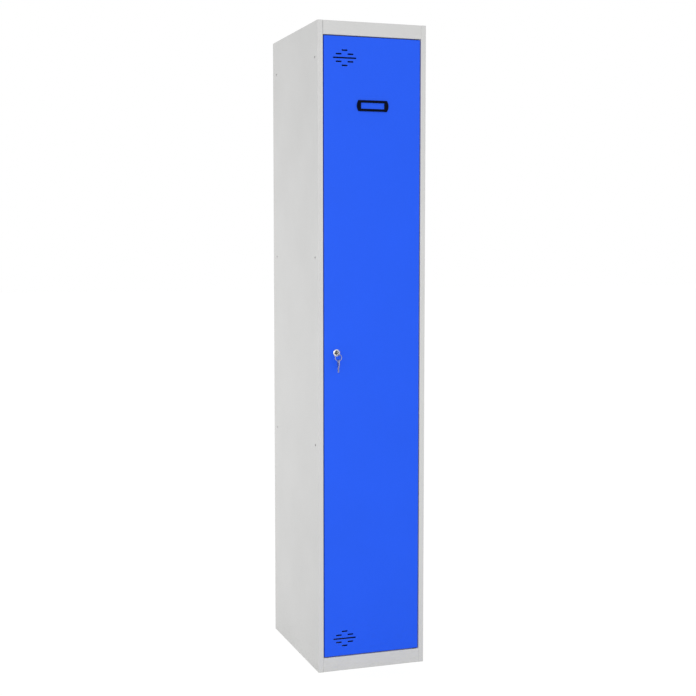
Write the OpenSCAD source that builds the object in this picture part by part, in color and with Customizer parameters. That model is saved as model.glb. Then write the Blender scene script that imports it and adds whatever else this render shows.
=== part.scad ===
// Single-door clothes locker, folded from sheet steel, standing on the floor.
// Millimetres, +Z up, the door faces -Y. The origin is on the floor, under the middle of the carcass.

/* [Carcass] */
// Width over the two side panels
locker_w = 315; // [285:5:400]
// Depth from the front frame to the back flanges
locker_d = 450; // [380:10:600]
// Height from the floor to the top
locker_h = 1800; // [1500:10:2000]
// Thickness of the sheet steel
sheet_t = 1; // [0.8:0.1:1.2]
// Radius of each fold, at the middle of the sheet
fold_r = 1.5; // [1.2:0.1:1.8]
// Face width of each front stile
stile_w = 15; // [13:1:20]
// Face height of the head rail over the door
head_h = 38; // [34:1:60]
// Face height of the plinth rail under the door
plinth_h = 40; // [34:1:80]
// How far the door stops reach in from the frame
stop_w = 12; // [11:1:14]
// Width of the flanges that hold the back panel
back_flange_w = 15; // [10:1:25]
// Width of the flanges that join one panel to the next
seam_w = 15; // [10:1:20]
// Width of the flange that stands on the floor
foot_w = 20; // [18:1:30]

/* [Linking holes] */
// Diameter of the holes for bolting lockers side by side
link_hole_d = 6.6; // [5.5:0.1:9]
// From the front face to the front column of holes
link_front = 27; // [26:1:60]
// From the back face to the back column of holes
link_back = 37; // [25:1:60]
// Height between the two middle rows
link_pitch = 520; // [400:10:600]
// From the top down to the top row
link_top = 97; // [60:1:150]

/* [Hat shelf and rail] */
// From the top of the locker down to the face of the shelf
hat_room = 300; // [220:10:400]
// Height of the shelf's folded front edge
shelf_lip = 20; // [14:1:30]
// From the stops back to the front edge of the shelf
shelf_setback = 12; // [8:1:40]
// Diameter of the clothes rail
rail_d = 18; // [14:1:22]
// Wall of the clothes rail
rail_wall = 1.2; // [1:0.1:2]
// From the underside of the shelf down to the middle of the rail
rail_drop = 45; // [30:1:80]
// From each side wall in to the rail's bracket
bracket_inset = 24; // [22:1:50]
// Thickness of the rail's brackets
bracket_t = 2; // [1.5:0.5:3]
// Width of the rail's brackets, front to back
bracket_w = 42; // [38:1:60]
// Diameter of the rivets that hold the brackets
rivet_d = 4; // [3:0.2:5]

/* [Door] */
// Gap between the door and the frame, all round
door_gap = 2.5; // [1.8:0.1:3]
// Depth of the door pan
door_d = 15; // [13:0.5:18]
// Width of the flanges round the back of the door pan
door_return_w = 14; // [12:1:16]
// Space behind the door, up to the stops
stop_gap = 5; // [5:0.5:7]
// Overall width of the stiffener behind the door
stiffener_w = 60; // [50:1:64]
// Width of the raised middle of the stiffener
stiffener_crown = 36; // [24:1:40]
// Diameter of the rubber buffers
buffer_d = 9; // [7:0.5:9]
// From each end of the door to the outer buffers
buffer_inset = 150; // [80:10:300]

/* [Hinge] */
// From the edge of the door in to the hinge axis
hinge_inset = 10; // [9:0.5:10.5]
// From the face of the door back to the hinge axis
hinge_setback = 6; // [5.8:0.1:6.2]
// Diameter of the hinge pins
pin_d = 6; // [4:0.5:6]
// How far each pin reaches into the frame
pin_reach = 14; // [8:1:20]
// Wall of the nylon bushes
bush_wall = 1.5; // [1:0.25:1.5]
// Thickness of the brackets that hold the pins
pin_bracket_t = 2; // [1.5:0.5:3]
// Height of the leg of each pin bracket
pin_bracket_leg = 30; // [20:1:60]
// Radius of the bend in the pin and rail brackets, at the middle of the plate
bracket_bend_r = 2.5; // [2:0.5:3.5]

/* [Vents] */
// Height of each vent slot
slot_h = 4; // [2.5:0.1:5]
// Length of the short vent slots
slot_short = 17; // [12:1:20]
// Length of the long vent slot
slot_long = 67; // [50:1:80]
// Height from one row of slots to the next
slot_pitch = 10.2; // [7:0.1:14]
// From the lock edge of the door to the middle of the vents
vent_inset = 59; // [52:1:75]
// From the top of the door down to the upper vents
vent_drop = 58; // [45:1:100]
// From the bottom of the door up to the lower vents
vent_rise = 49; // [45:1:100]

/* [Label holder] */
// Length of the label holder
label_w = 92; // [86:1:100]
// Height of the label holder
label_h = 30; // [26:1:36]
// Depth of the label holder
label_t = 3.8; // [3.2:0.1:5]
// Radius of the holder's bowed ends
label_end_r = 26; // [22:1:40]
// Bevel round the front of the holder
label_bevel = 2; // [1:0.1:2.4]
// Length of the window in the holder
label_window_w = 68; // [50:1:70]
// Height of the window in the holder
label_window_h = 16.5; // [12:0.5:18]
// Bevel round the front of the window
label_window_bevel = 1.2; // [0.6:0.1:1.4]
// From the top of the door down to the middle of the holder
label_drop = 185; // [140:1:260]

/* [Lock] */
// Height of the lock over the floor
lock_h = 898; // [700:1:1100]
// From the lock edge of the door to the middle of the lock
lock_inset = 35.5; // [34:0.5:40]
// Diameter of the lock's face
lock_face_d = 20; // [18:0.5:24]
// How far the lock's face stands proud of the door
lock_proud = 2.2; // [1.5:0.1:3]
// Diameter of the lock's body
lock_body_d = 16; // [15:0.5:17]
// Width across the flats of the lock's body
lock_flats = 14; // [13:0.5:15]
// Diameter of the turning plug
plug_d = 11; // [10.5:0.1:12]
// Thickness of the locking cam
cam_t = 2; // [1.5:0.1:2.5]
// Width of the locking cam
cam_w = 14; // [12:0.5:16]
// Reach of the locking cam from the axis of the lock
cam_reach = 34; // [32:0.5:35]

/* [Keys] */
// Thickness of the keys
key_t = 2; // [1.6:0.1:2.2]
// Radius of the round end of a key's bow
key_bow_r = 7.5; // [7.2:0.1:8]
// Radius of the hole in the bow
key_hole_r = 4; // [4:0.1:4.2]
// Width of a key's blade
key_blade_w = 7; // [6:0.1:7.5]
// Length of a key's blade
key_blade_l = 15; // [13:0.5:16]
// Width of the grooves along a key's blade
key_groove_w = 1.4; // [1:0.1:1.6]
// Depth of the grooves along a key's blade
key_groove_d = 0.5; // [0.3:0.05:0.6]
// Radius of the key ring, at the middle of its wire
ring_r = 9.3; // [9.3:0.1:12]
// Radius of the key ring's wire
ring_wire_r = 0.8; // [0.7:0.05:0.85]

/* [Hidden] */
$fn = 48;

// Clearances: parts that seat on each other, that run in each other, and holes for rivets and studs
seat_gap = 0.3;
run_gap = 0.05;
hole_gap = 0.1;
// Cutters pass this far beyond what they cut
over = 1;

grey = [0.80, 0.80, 0.79];
door_blue = [0.13, 0.36, 0.95];
zinc = [0.72, 0.73, 0.74];
chrome = [0.85, 0.86, 0.88];
black = [0.05, 0.05, 0.06];
nylon = [0.16, 0.16, 0.17];

// Faces of the carcass
front_y = -locker_d / 2;
back_y = locker_d / 2;
wall_x = locker_w / 2 - sheet_t;
fold_out = fold_r + sheet_t / 2;
back_in = back_y - 2 * sheet_t;
open_x = locker_w / 2 - stile_w;
head_z = locker_h - head_h;
jamb_d = door_d + stop_gap + sheet_t;
jamb_y = front_y + jamb_d;
floor_z = plinth_h + stop_w;
stop_top = head_z - stop_w;

// Faces of the door
door_x = open_x - door_gap;
door_lo = plinth_h + door_gap;
door_hi = head_z - door_gap;
door_back = front_y + door_d;
hinge_x = door_x - hinge_inset;
hinge_y = front_y + hinge_setback;

// Shelf and rail
shelf_z = locker_h - hat_room;
shelf_y = jamb_y + shelf_setback;
rail_z = shelf_z - sheet_t - rail_drop;
rail_bracket_x = wall_x - bracket_inset;
rivet_head_r = rivet_d;
rivet_head_t = rivet_d * 0.4;
bracket_flange = bracket_inset - 6;
rivet_pitch = bracket_w - 4 * rivet_d;

// Hinge pins and bushes
bush_or = pin_d / 2 + run_gap + bush_wall;
bush_flange_t = door_gap - seat_gap;
bush_flange_r = min(bush_or + 1, hinge_setback - 0.5);
bush_len = 10;
pin_collar_r = pin_d / 2 + 1.5;
pin_collar_t = 2;
pin_bracket_w = 26;

// Buffers and studs
buffer_heights = [door_lo + buffer_inset, (door_lo + door_hi) / 2 + buffer_inset, door_hi - buffer_inset];
buffer_x = -door_x + buffer_d / 2;
buffer_stem_r = 2.2;
buffer_edge_r = 1.5;
stud_r = 1.8;
stud_head_r = 2.6;
stud_l = 3;

// Lock, from front to back
lock_x = -door_x + lock_inset;
lock_front = front_y - lock_proud;
housing_back = jamb_y + 0.5;
cam_y = housing_back + seat_gap;
cam_back = cam_y + cam_t;
washer_t = 1;
washer_r = 5.5;
screw_r = 2;
screw_l = 5;
screw_head_r = 4;
screw_head_t = 2.4;
tail_w = 7;
nut_t = 5;
nut_af = lock_body_d + 6;
slot_depth = key_blade_l + 1;

// Keys and ring, measured out from the face of the plug
bow_near = 2;
bow_straight = 5;
key_hole_u = bow_near + key_bow_r + bow_straight;
key_hole_y = lock_front - key_hole_u;
ring_slack = key_hole_r - ring_wire_r - seat_gap;
ring_z = lock_h - ring_slack - ring_r;
spare_hole_z = ring_z - ring_r - ring_slack;

// A strip of sheet folded square along a path: the path is the middle of the sheet
module fold_section(path, thick = sheet_t, bend = fold_r) {
    last = len(path) - 1;
    for (i = [0 : last - 1]) {
        run = path[i + 1] - path[i];
        dir = run / norm(run);
        from = path[i] + (i > 0 ? bend : 0) * dir;
        to = path[i + 1] - (i < last - 1 ? bend : 0) * dir;
        translate(from)
            rotate(atan2(dir.y, dir.x))
                translate([0, -thick / 2])
                    square([norm(to - from), thick]);
    }
    for (i = [1 : last - 1]) {
        dir_in = (path[i] - path[i - 1]) / norm(path[i] - path[i - 1]);
        dir_out = (path[i + 1] - path[i]) / norm(path[i + 1] - path[i]);
        centre = path[i] + bend * (dir_out - dir_in);
        reach = bend + thick;
        intersection() {
            translate(centre)
                difference() {
                    circle(r = bend + thick / 2);
                    circle(r = bend - thick / 2);
                }
            polygon([
                centre,
                centre - reach * dir_out,
                centre + reach * (dir_in - dir_out),
                centre + reach * dir_in
            ]);
        }
    }
}

// Extrudes a section drawn in Y and Z along X, over both sides of the middle
module across(half) {
    translate([-half, 0, 0])
        rotate([90, 0, 90])
            linear_extrude(height = 2 * half)
                children();
}

// Extrudes a section drawn in X and Z backwards along Y, from the plane y
module backwards(y, depth) {
    translate([0, y + depth, 0])
        rotate([90, 0, 0])
            linear_extrude(height = depth)
                children();
}

// Turns a section of radius and depth about an axis that runs back along Y
module turned_backwards() {
    rotate([-90, 0, 0])
        rotate_extrude()
            children();
}

// A block given by its lowest and its highest corner
module block(low, high) {
    translate(low)
        cube(high - low);
}

module rounded_rect(low, high, r) {
    translate([low.x + r, low.y])
        square([high.x - low.x - 2 * r, high.y - low.y]);
    translate([low.x, low.y + r])
        square([high.x - low.x, high.y - low.y - 2 * r]);
    for (x = [low.x + r, high.x - r], y = [low.y + r, high.y - r])
        translate([x, y])
            circle(r = r);
}

// A flat slot with round ends
module slot(len, h) {
    square([len - h, h], center = true);
    for (side = [-1, 1])
        translate([side * (len - h) / 2, 0])
            circle(r = h / 2);
}

// One side: door stop, jamb, stile, wall and back flange are a single folded sheet
module side_panel() {
    difference() {
        linear_extrude(height = locker_h)
            fold_section([
                [-open_x + stop_w, jamb_y - sheet_t / 2],
                [-open_x - sheet_t / 2, jamb_y - sheet_t / 2],
                [-open_x - sheet_t / 2, front_y + sheet_t / 2],
                [-wall_x - sheet_t / 2, front_y + sheet_t / 2],
                [-wall_x - sheet_t / 2, back_y - sheet_t / 2],
                [-locker_w / 2 + back_flange_w, back_y - sheet_t / 2]
            ]);
        // The stop makes way for the plinth and the head
        for (span = [[-over, floor_z], [stop_top, locker_h + over]])
            block([-open_x, front_y + sheet_t, span[0]], [-open_x + stop_w + over, jamb_y + over, span[1]]);
        // The jamb makes way for the top sheet
        block([-wall_x, front_y + fold_out, locker_h - sheet_t], [0, back_y - sheet_t, locker_h + over]);
        link_holes();
    }
}

// Linking holes: two columns, in the three rows where lockers in a row are bolted together
module link_holes() {
    for (y = [front_y + link_front, back_y - link_back])
        for (z = [(locker_h - link_pitch) / 2, (locker_h + link_pitch) / 2, locker_h - link_top])
            translate([-locker_w / 2 - over, y, z])
                rotate([0, 90, 0])
                    cylinder(d = link_hole_d, h = sheet_t + 2 * over);
}

module left_side_panel() {
    color(grey)
        difference() {
            side_panel();
            at_buffers()
                backwards(jamb_y - sheet_t - over, sheet_t + 2 * over)
                    circle(r = buffer_stem_r + hole_gap);
        }
}

module right_side_panel() {
    color(grey) mirror([1, 0, 0]) side_panel();
}

// Plain sheet, welded inside the back flanges of the sides
module back_panel() {
    half = wall_x - fold_out + sheet_t - seat_gap;
    end_gap = sheet_t + seat_gap;
    color(grey)
        block([-half, back_in, end_gap], [half, back_in + sheet_t, locker_h - end_gap]);
}

// Top sheet with the head rail and its door stop folded down at the front
module top_panel() {
    top_lo = locker_h - sheet_t;
    color(grey)
        difference() {
            union() {
                across(open_x)
                    fold_section([
                        [jamb_y - sheet_t / 2, stop_top],
                        [jamb_y - sheet_t / 2, head_z + sheet_t / 2],
                        [front_y + sheet_t / 2, head_z + sheet_t / 2],
                        [front_y + sheet_t / 2, locker_h - sheet_t / 2],
                        [jamb_y + over, locker_h - sheet_t / 2]
                    ]);
                block([-wall_x, front_y + fold_out, top_lo], [wall_x, back_in, locker_h]);
                for (side = [-1, 1])
                    translate([side * (wall_x - sheet_t / 2), 0, 0])
                        block(
                            [-sheet_t / 2, jamb_y + over, locker_h - seam_w],
                            [sheet_t / 2, back_in, locker_h - sheet_t / 2]
                        );
                block(
                    [-wall_x, back_in - sheet_t, locker_h - seam_w],
                    [wall_x, back_in, locker_h - sheet_t / 2]
                );
            }
            bush_hole(head_z);
        }
}

// Compartment floor with the plinth folded down at the front, and skirts down to a flange on the floor
module floor_panel() {
    color(grey)
        difference() {
            union() {
                across(open_x)
                    fold_section([
                        [front_y + foot_w, sheet_t / 2],
                        [front_y + sheet_t / 2, sheet_t / 2],
                        [front_y + sheet_t / 2, plinth_h - sheet_t / 2],
                        [jamb_y - sheet_t / 2, plinth_h - sheet_t / 2],
                        [jamb_y - sheet_t / 2, floor_z - sheet_t / 2],
                        [jamb_y + fold_out + over, floor_z - sheet_t / 2]
                    ]);
                block([-wall_x, jamb_y + fold_r, floor_z - sheet_t], [wall_x, back_in, floor_z]);
                for (side = [-1, 1])
                    translate([side * (wall_x - sheet_t / 2), 0, 0])
                        block([-sheet_t / 2, jamb_y, 0], [sheet_t / 2, back_in, floor_z - sheet_t / 2]);
                block([-wall_x, back_in - sheet_t, 0], [wall_x, back_in, floor_z - sheet_t / 2]);
                linear_extrude(height = sheet_t)
                    difference() {
                        union() {
                            translate([-wall_x, jamb_y])
                                square([2 * wall_x, back_in - jamb_y]);
                            translate([-open_x, front_y + fold_out])
                                square([2 * open_x, jamb_d]);
                        }
                        translate([-wall_x + foot_w, front_y + foot_w])
                            square([2 * (wall_x - foot_w), back_in - front_y - 2 * foot_w]);
                    }
            }
            bush_hole(plinth_h - sheet_t);
        }
}

// Hole for a hinge bush through a flange whose underside is at z
module bush_hole(z) {
    translate([hinge_x, hinge_y, z - over])
        cylinder(r = bush_or, h = sheet_t + 2 * over);
}

// Folded tray: hemmed front edge, flanges down at the sides and the back
module hat_shelf() {
    color(grey)
        difference() {
            union() {
                across(wall_x)
                    fold_section([
                        [shelf_y + shelf_lip / 2, shelf_z - shelf_lip + sheet_t / 2],
                        [shelf_y + sheet_t / 2, shelf_z - shelf_lip + sheet_t / 2],
                        [shelf_y + sheet_t / 2, shelf_z - sheet_t / 2],
                        [back_in - sheet_t / 2, shelf_z - sheet_t / 2],
                        [back_in - sheet_t / 2, shelf_z - seam_w]
                    ]);
                for (side = [-1, 1])
                    translate([side * (wall_x - sheet_t / 2), 0, 0])
                        block(
                            [-sheet_t / 2, shelf_y + shelf_lip / 2 + over, shelf_z - seam_w],
                            [sheet_t / 2, back_in - fold_out, shelf_z - sheet_t / 2]
                        );
            }
            at_rail_rivets(shelf_z - sheet_t - over)
                cylinder(d = rivet_d + 2 * hole_gap, h = sheet_t + 2 * over);
        }
}

module hanging_rail() {
    color(chrome)
        difference() {
            across(wall_x - seat_gap)
                translate([0, rail_z])
                    circle(d = rail_d);
            across(wall_x + over)
                translate([0, rail_z])
                    circle(d = rail_d - 2 * rail_wall);
        }
}

// Places its children at the four rail rivets, at the height z
module at_rail_rivets(z) {
    for (side = [-1, 1], end = [-1, 1])
        translate([side * (rail_bracket_x - bracket_flange / 2), end * rivet_pitch / 2, z])
            children();
}

// Angle brackets under the shelf, each with a leg that carries the rail
module rail_brackets() {
    top = shelf_z - sheet_t;
    leg_r = rail_d / 2 + 5;
    leg_x = rail_bracket_x - bracket_t / 2;
    color(zinc)
        difference() {
            for (side = [0, 1])
                mirror([side, 0, 0])
                    intersection() {
                        backwards(-bracket_w / 2, bracket_w)
                            fold_section(
                                [
                                    [leg_x, rail_z - leg_r],
                                    [leg_x, top - bracket_t / 2],
                                    [rail_bracket_x - bracket_flange, top - bracket_t / 2]
                                ],
                                bracket_t, bracket_bend_r
                            );
                        across(wall_x) {
                            translate([0, rail_z])
                                circle(r = leg_r);
                            polygon([
                                [-leg_r, rail_z], [leg_r, rail_z],
                                [bracket_w / 2, top - bracket_bend_r - bracket_t], [bracket_w / 2, top],
                                [-bracket_w / 2, top], [-bracket_w / 2, top - bracket_bend_r - bracket_t]
                            ]);
                        }
                    }
            across(wall_x)
                translate([0, rail_z])
                    circle(d = rail_d + 2 * hole_gap);
            at_rail_rivets(top - bracket_t - over)
                cylinder(d = rivet_d + 2 * hole_gap, h = bracket_t + 2 * over);
        }
}

// Domed rivets through the shelf and the brackets
module rail_rivets() {
    grip = sheet_t + bracket_t;
    dome_r = (rivet_head_r * rivet_head_r + rivet_head_t * rivet_head_t) / (2 * rivet_head_t);
    color(zinc)
        at_rail_rivets(shelf_z - grip) {
            translate([0, 0, -rivet_head_t])
                cylinder(d = rivet_d * 1.5, h = rivet_head_t);
            cylinder(d = rivet_d, h = grip);
            translate([0, 0, grip])
                intersection() {
                    translate([0, 0, rivet_head_t - dome_r])
                        sphere(r = dome_r);
                    cylinder(r = rivet_head_r, h = rivet_head_t);
                }
        }
}

// Places its children at the buffers, on the axis of their stems
module at_buffers() {
    for (z = buffer_heights)
        translate([buffer_x, 0, z])
            children();
}

// Push-in rubber buffers: the round head faces the door, and the barb is pushed through the stop
module door_buffers() {
    head_t = stop_gap - seat_gap;
    head_r = buffer_d / 2;
    barb_r = buffer_stem_r + 0.6;
    barb_l = 3;
    color(black)
        at_buffers()
            translate([0, jamb_y - sheet_t, 0])
                turned_backwards() {
                    translate([0, -head_t])
                        square([head_r - buffer_edge_r, head_t]);
                    translate([0, buffer_edge_r - head_t])
                        square([head_r, head_t - buffer_edge_r]);
                    intersection() {
                        translate([head_r - buffer_edge_r, buffer_edge_r - head_t])
                            circle(r = buffer_edge_r);
                        translate([0, -head_t])
                            square([head_r, head_t]);
                    }
                    square([buffer_stem_r, sheet_t]);
                    polygon([
                        [0, sheet_t], [barb_r, sheet_t], [barb_r, sheet_t + 0.5],
                        [buffer_stem_r - 0.8, sheet_t + barb_l], [0, sheet_t + barb_l]
                    ]);
                }
}

// Flanged nylon bush under the door, drawn with its flange on the plane z = 0
module bush() {
    bore_r = pin_d / 2 + run_gap;
    lead = bush_wall / 3;
    rotate_extrude()
        polygon([
            [bore_r, -bush_len], [bush_or - lead, -bush_len], [bush_or, 2 * lead - bush_len],
            [bush_or, 0], [bush_flange_r, 0],
            [bush_flange_r, bush_flange_t - lead], [bush_flange_r - lead, bush_flange_t],
            [bore_r, bush_flange_t]
        ]);
}

module lower_bush() {
    color(nylon)
        translate([hinge_x, hinge_y, plinth_h])
            bush();
}

module upper_bush() {
    color(nylon)
        translate([hinge_x, hinge_y, head_z])
            mirror([0, 0, 1])
                bush();
}

// Door pan folded from one sheet: face, four edges, and a flange round the back
module door_skin() {
    color(door_blue)
        difference() {
            door_block(0);
            door_block(sheet_t);
            block(
                [-door_x + door_return_w, door_back - 2 * sheet_t, door_lo + door_return_w],
                [door_x - door_return_w, door_back + over, door_hi - door_return_w]
            );
            for (z = [door_hi - vent_drop, door_lo + vent_rise])
                translate([-door_x + vent_inset, 0, z])
                    vent_slots();
            translate([lock_x, 0, lock_h])
                backwards(front_y - over, sheet_t + 2 * over)
                    lock_body_section(hole_gap);
            at_label_studs()
                backwards(front_y - over, sheet_t + 2 * over)
                    circle(r = stud_r + hole_gap);
            for (z = [door_lo, door_hi - sheet_t])
                translate([hinge_x, hinge_y, z - over])
                    cylinder(r = pin_d / 2 + hole_gap, h = sheet_t + 2 * over);
        }
}

// The outside of the door pan with rounded folds, drawn in by the amount in
module door_block(in) {
    r = fold_out - in;
    intersection() {
        translate([0, 0, door_lo + in])
            linear_extrude(height = door_hi - door_lo - 2 * in)
                rounded_rect([-door_x + in, front_y + in], [door_x - in, door_back - in], r);
        across(door_x - in)
            rounded_rect([front_y + in, door_lo + in], [door_back - in, door_hi - in], r);
    }
}

// A group of vent slots in the shape of a diamond
module vent_slots() {
    backwards(front_y - over, sheet_t + 2 * over) {
        slot(slot_long, slot_h);
        for (side = [-1, 1]) {
            for (half = [-1, 1])
                translate([half * slot_short, side * slot_pitch])
                    slot(slot_short, slot_h);
            translate([0, 2 * side * slot_pitch])
                slot(slot_short, slot_h);
        }
    }
}

// Hat-shaped channel welded down the middle of the door
module door_stiffener() {
    near = front_y + 1.5 * sheet_t;
    far = door_back - 2 * sheet_t - seat_gap;
    crown = stiffener_crown / 2;
    color(door_blue)
        translate([0, 0, door_lo + fold_out])
            linear_extrude(height = door_hi - door_lo - 2 * fold_out)
                fold_section([
                    [-stiffener_w / 2, near], [-crown, near], [-crown, far],
                    [crown, far], [crown, near], [stiffener_w / 2, near]
                ]);
}

// Hinge pin, drawn for the bottom of the door: its collar lies on the bracket, whose top is at z = 0
module hinge_pin() {
    drop = pin_bracket_t + sheet_t + door_gap + pin_reach;
    point = pin_d / 6;
    color(chrome)
        rotate_extrude()
            polygon([
                [0, -drop], [pin_d / 2 - point, -drop], [pin_d / 2, point - drop],
                [pin_d / 2, 0], [pin_collar_r, 0],
                [pin_collar_r, pin_collar_t - 0.5], [pin_collar_r - 0.5, pin_collar_t],
                [0, pin_collar_t]
            ]);
}

module lower_hinge_pin() {
    translate([hinge_x, hinge_y, door_lo + sheet_t + pin_bracket_t])
        hinge_pin();
}

module upper_hinge_pin() {
    translate([hinge_x, hinge_y, door_hi - sheet_t - pin_bracket_t])
        mirror([0, 0, 1])
            hinge_pin();
}

// Angle bracket in the corner of the door pan, drawn with its foot on the plane z = 0
module hinge_bracket() {
    side_x = door_x - sheet_t;
    y_lo = front_y + fold_out;
    y_hi = door_back - fold_out;
    color(zinc)
        difference() {
            backwards(y_lo, y_hi - y_lo)
                fold_section(
                    [
                        [side_x - pin_bracket_w, pin_bracket_t / 2],
                        [side_x - pin_bracket_t / 2, pin_bracket_t / 2],
                        [side_x - pin_bracket_t / 2, pin_bracket_leg]
                    ],
                    pin_bracket_t, bracket_bend_r
                );
            translate([hinge_x, hinge_y, -over])
                cylinder(r = pin_d / 2 + run_gap, h = pin_bracket_t + 2 * over);
        }
}

module lower_hinge_bracket() {
    translate([0, 0, door_lo + sheet_t])
        hinge_bracket();
}

module upper_hinge_bracket() {
    translate([0, 0, door_hi - sheet_t])
        mirror([0, 0, 1])
            hinge_bracket();
}

// The two studs of the label holder sit in its side bars
module at_label_studs() {
    for (side = [-1, 1])
        translate([side * (label_window_w + label_w) / 4, 0, door_hi - label_drop])
            children();
}

// Moulded frame with bowed ends, bevelled edges and a window that shows the door
module label_holder() {
    recess_t = 0.8;
    recess_edge = 2;
    color(black)
        difference() {
            union() {
                translate([0, 0, door_hi - label_drop])
                    intersection() {
                        label_ends();
                        across(label_w)
                            polygon([
                                [front_y, -label_h / 2],
                                [front_y - label_t + label_bevel / 2, -label_h / 2],
                                [front_y - label_t, -label_h / 2 + label_bevel],
                                [front_y - label_t, label_h / 2 - label_bevel],
                                [front_y - label_t + label_bevel / 2, label_h / 2],
                                [front_y, label_h / 2]
                            ]);
                    }
                at_label_studs() {
                    backwards(front_y, sheet_t)
                        circle(r = stud_r);
                    backwards(front_y + sheet_t, stud_l)
                        circle(r = stud_head_r);
                }
            }
            translate([0, 0, door_hi - label_drop]) {
                backwards(front_y - label_t - over, label_t + over)
                    square([label_window_w, label_window_h], center = true);
                label_window_lead();
                // The label itself lies in this shallow recess, against the door
                backwards(front_y - recess_t, recess_t)
                    square(
                        [label_window_w + 2 * recess_edge, label_window_h + 2 * recess_edge],
                        center = true
                    );
            }
        }
}

// Cutter for the bevel round the window: two wedges cross, so their slopes meet in mitred corners
module label_window_lead() {
    face_y = front_y - label_t;
    out = label_window_bevel + over;
    intersection() {
        across(label_w)
            polygon([
                [face_y - over, -label_window_h / 2 - out], [face_y - over, label_window_h / 2 + out],
                [face_y + out, label_window_h / 2 - over], [face_y + out, over - label_window_h / 2]
            ]);
        translate([0, 0, -label_h])
            linear_extrude(height = 2 * label_h)
                polygon([
                    [-label_window_w / 2 - out, face_y - over], [label_window_w / 2 + out, face_y - over],
                    [label_window_w / 2 - over, face_y + out], [over - label_window_w / 2, face_y + out]
                ]);
    }
}

// The holder's two bowed ends: each is turned about an axis of its own, bevel and all
module label_ends() {
    end_x = label_w / 2 - label_end_r;
    face_y = front_y - label_t;
    intersection_for (side = [-1, 1])
        union() {
            translate([side * end_x, 0, 0])
                turned_backwards()
                    polygon([
                        [0, face_y], [label_end_r - label_bevel, face_y],
                        [label_end_r, face_y + label_bevel / 2], [label_end_r, front_y],
                        [0, front_y]
                    ]);
            backwards(face_y, label_t)
                translate([side * (end_x - label_w) / 2, 0])
                    square([end_x + label_w, 2 * label_h], center = true);
        }
}

// Round body with two flats that stop it from turning in the door, drawn about the lock's axis
module lock_body_section(gap) {
    intersection() {
        circle(d = lock_body_d + 2 * gap);
        square([lock_flats + 2 * gap, lock_body_d + 2 * over], center = true);
    }
}

// The face has a round edge and is countersunk round the plug; the body ends in a chamfer
module lock_housing() {
    bore_r = plug_d / 2 + run_gap;
    bezel_r = 0.7 * lock_proud;
    bezel_inner = 0.5;
    color(chrome)
        translate([lock_x, 0, lock_h])
            difference() {
                union() {
                    turned_backwards() {
                        translate([0, lock_front + bezel_r])
                            square([lock_face_d / 2, lock_proud - bezel_r]);
                        translate([0, lock_front])
                            square([lock_face_d / 2 - bezel_r, lock_proud]);
                        intersection() {
                            translate([lock_face_d / 2 - bezel_r, lock_front + bezel_r])
                                circle(r = bezel_r);
                            translate([0, lock_front])
                                square([lock_face_d / 2, lock_proud]);
                        }
                    }
                    intersection() {
                        backwards(front_y, housing_back - front_y)
                            lock_body_section(0);
                        turned_backwards()
                            polygon([
                                [0, front_y - over], [lock_body_d / 2 + over, front_y - over],
                                [lock_body_d / 2 + over, housing_back - over - bezel_inner],
                                [lock_body_d / 2 - bezel_inner, housing_back], [0, housing_back]
                            ]);
                    }
                }
                turned_backwards()
                    polygon([
                        [0, lock_front - over], [bore_r + bezel_inner + over, lock_front - over],
                        [bore_r, lock_front + bezel_inner], [bore_r, housing_back + over],
                        [0, housing_back + over]
                    ]);
            }
}

// Hexagon nut on the lock's body, tight against the inside of the door, its corners chamfered
module lock_nut() {
    corner_r = nut_af / 2 / cos(30);
    face_r = nut_af / 2 - 0.3;
    color(zinc)
        translate([lock_x, front_y + sheet_t, lock_h])
            intersection() {
                backwards(0, nut_t)
                    difference() {
                        circle(r = corner_r, $fn = 6);
                        circle(d = lock_body_d + 2 * run_gap);
                    }
                turned_backwards()
                    polygon([
                        [0, 0], [corner_r + over, 0],
                        [corner_r + over, nut_t - (corner_r + over - face_r) * tan(30)],
                        [face_r, nut_t], [0, nut_t]
                    ]);
            }
}

// Turning plug: keyway in the front, square tail and a tapped hole at the back
module lock_plug() {
    keyway_w = key_blade_w + 0.3;
    keyway_t = key_t + 0.3;
    edge = 0.4;
    color(zinc)
        translate([lock_x, 0, lock_h])
            difference() {
                union() {
                    turned_backwards()
                        polygon([
                            [0, lock_front], [plug_d / 2 - edge, lock_front],
                            [plug_d / 2, lock_front + edge], [plug_d / 2, housing_back],
                            [0, housing_back]
                        ]);
                    backwards(housing_back, cam_back - housing_back)
                        square(tail_w, center = true);
                }
                backwards(lock_front - over, slot_depth + over)
                    square([keyway_t, keyway_w], center = true);
                backwards(cam_back - screw_l, screw_l + over)
                    circle(r = screw_r + run_gap);
            }
}

// Flat steel cam on the plug's square tail: it hangs down when unlocked
module lock_cam() {
    color(zinc)
        translate([lock_x, 0, lock_h])
            backwards(cam_y, cam_t)
                difference() {
                    union() {
                        circle(d = cam_w);
                        translate([-cam_w / 2, -cam_reach + cam_w / 2])
                            square([cam_w, cam_reach - cam_w / 2]);
                        translate([0, -cam_reach + cam_w / 2])
                            circle(d = cam_w);
                    }
                    square(tail_w + 2 * run_gap, center = true);
                }
}

module cam_washer() {
    color(zinc)
        translate([lock_x, 0, lock_h])
            backwards(cam_back, washer_t)
                difference() {
                    circle(r = washer_r);
                    circle(r = screw_r + hole_gap);
                }
}

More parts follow.
